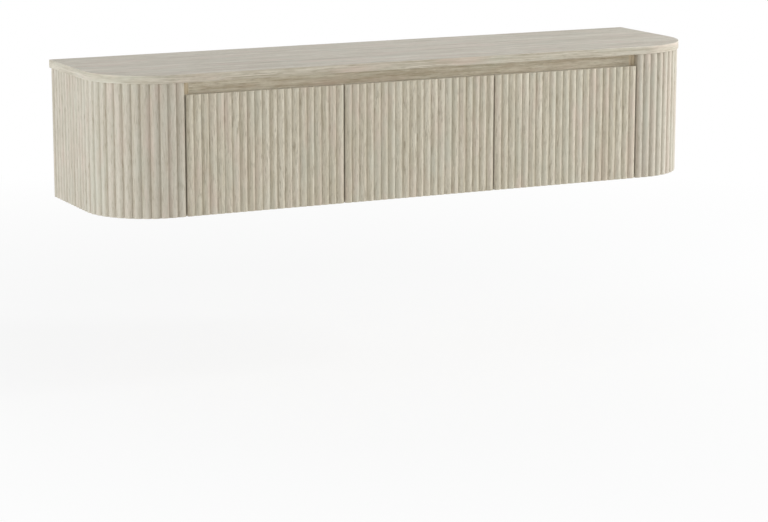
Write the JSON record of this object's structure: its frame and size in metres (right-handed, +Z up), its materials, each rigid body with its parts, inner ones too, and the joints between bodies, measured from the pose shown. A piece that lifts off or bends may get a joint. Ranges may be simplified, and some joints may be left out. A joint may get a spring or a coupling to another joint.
{
  "type": "wall cabinet",
  "caption": "Low wall-hung media cabinet with fluted doors, rounded fluted ends, a plain slab top and a finger recess above the doors.",
  "frame": {"origin": "on the wall plane, at the middle of the cabinet width and level with the underside", "axes": "+X to the right seen from the front, -Y out of the wall towards the front, +Z up"},
  "size_m": [1.8, 0.45, 0.375],
  "materials": {
    "oak_along": "bleached oak, matt lacquer, grain along the cabinet",
    "fluted_oak": "bleached oak, matt lacquer, grain upright",
    "oak_board": "bleached oak veneer, matt, grain upright on doors and along the depth inside",
    "oak_back": "bleached oak veneer, matt, grain along the cabinet",
    "plain_board": "raw board, inside the ends and behind the back panel",
    "dowel_wood": "beech dowel",
    "nickel": "nickel-plated steel",
    "screw_steel": "zinc-plated steel",
    "clear_rubber": "translucent soft plastic"
  },
  "bodies": {
    "cabinet": {"back_panel": "oak_back", "bottom_panel": "oak_along", "carcass_dowels": "dowel_wood", "front_rail": "oak_along", "hinge_arm_screws": "screw_steel", "hinge_plate_screws": "screw_steel", "left_door_lower_hinge_arm": "nickel", "left_door_lower_hinge_plate": "nickel", "left_door_upper_hinge_arm": "nickel", "left_door_upper_hinge_plate": "nickel", "left_end_back": "plain_board", "left_end_core": "plain_board", "left_end_facing": "fluted_oak", "left_end_middle_rib": "plain_board", "left_end_post": "plain_board", "left_end_upper_rib": "plain_board", "left_partition": "oak_board", "left_side_panel": "oak_board", "lower_hanging_rail": "plain_board", "middle_door_lower_hinge_arm": "nickel", "middle_door_lower_hinge_plate": "nickel", "middle_door_upper_hinge_arm": "nickel", "middle_door_upper_hinge_plate": "nickel", "right_door_lower_hinge_arm": "nickel", "right_door_lower_hinge_plate": "nickel", "right_door_upper_hinge_arm": "nickel", "right_door_upper_hinge_plate": "nickel", "right_end_back": "plain_board", "right_end_core": "plain_board", "right_end_facing": "fluted_oak", "right_end_middle_rib": "plain_board", "right_end_post": "plain_board", "right_end_upper_rib": "plain_board", "right_partition": "oak_board", "right_side_panel": "oak_board", "top_slab": "oak_along", "upper_hanging_rail": "plain_board"},
    "left_door": {"left_door_board": "oak_board", "left_door_bumpers": "clear_rubber", "left_door_cup_screws": "screw_steel", "left_door_facing": "fluted_oak", "left_door_hinge_pins": "screw_steel", "left_door_lower_hinge_cup": "nickel", "left_door_upper_hinge_cup": "nickel"},
    "middle_door": {"middle_door_board": "oak_board", "middle_door_bumpers": "clear_rubber", "middle_door_cup_screws": "screw_steel", "middle_door_facing": "fluted_oak", "middle_door_hinge_pins": "screw_steel", "middle_door_lower_hinge_cup": "nickel", "middle_door_upper_hinge_cup": "nickel"},
    "right_door": {"right_door_board": "oak_board", "right_door_bumpers": "clear_rubber", "right_door_cup_screws": "screw_steel", "right_door_facing": "fluted_oak", "right_door_hinge_pins": "screw_steel", "right_door_lower_hinge_cup": "nickel", "right_door_upper_hinge_cup": "nickel"}
  },
  "joints": [
    {"name": "left_door_hinge", "type": "hinge", "parent": "cabinet", "child": "left_door", "pos_m": [-0.67425, -0.4376, 0.16], "axis": [0, 0, -1], "range_deg": [0, 98]},
    {"name": "middle_door_hinge", "type": "hinge", "parent": "cabinet", "child": "middle_door", "pos_m": [-0.21875, -0.4376, 0.16], "axis": [0, 0, -1], "range_deg": [0, 98]},
    {"name": "right_door_hinge", "type": "hinge", "parent": "cabinet", "child": "right_door", "pos_m": [0.67425, -0.4376, 0.16], "axis": [0, 0, 1], "range_deg": [0, 98]}
  ]
}
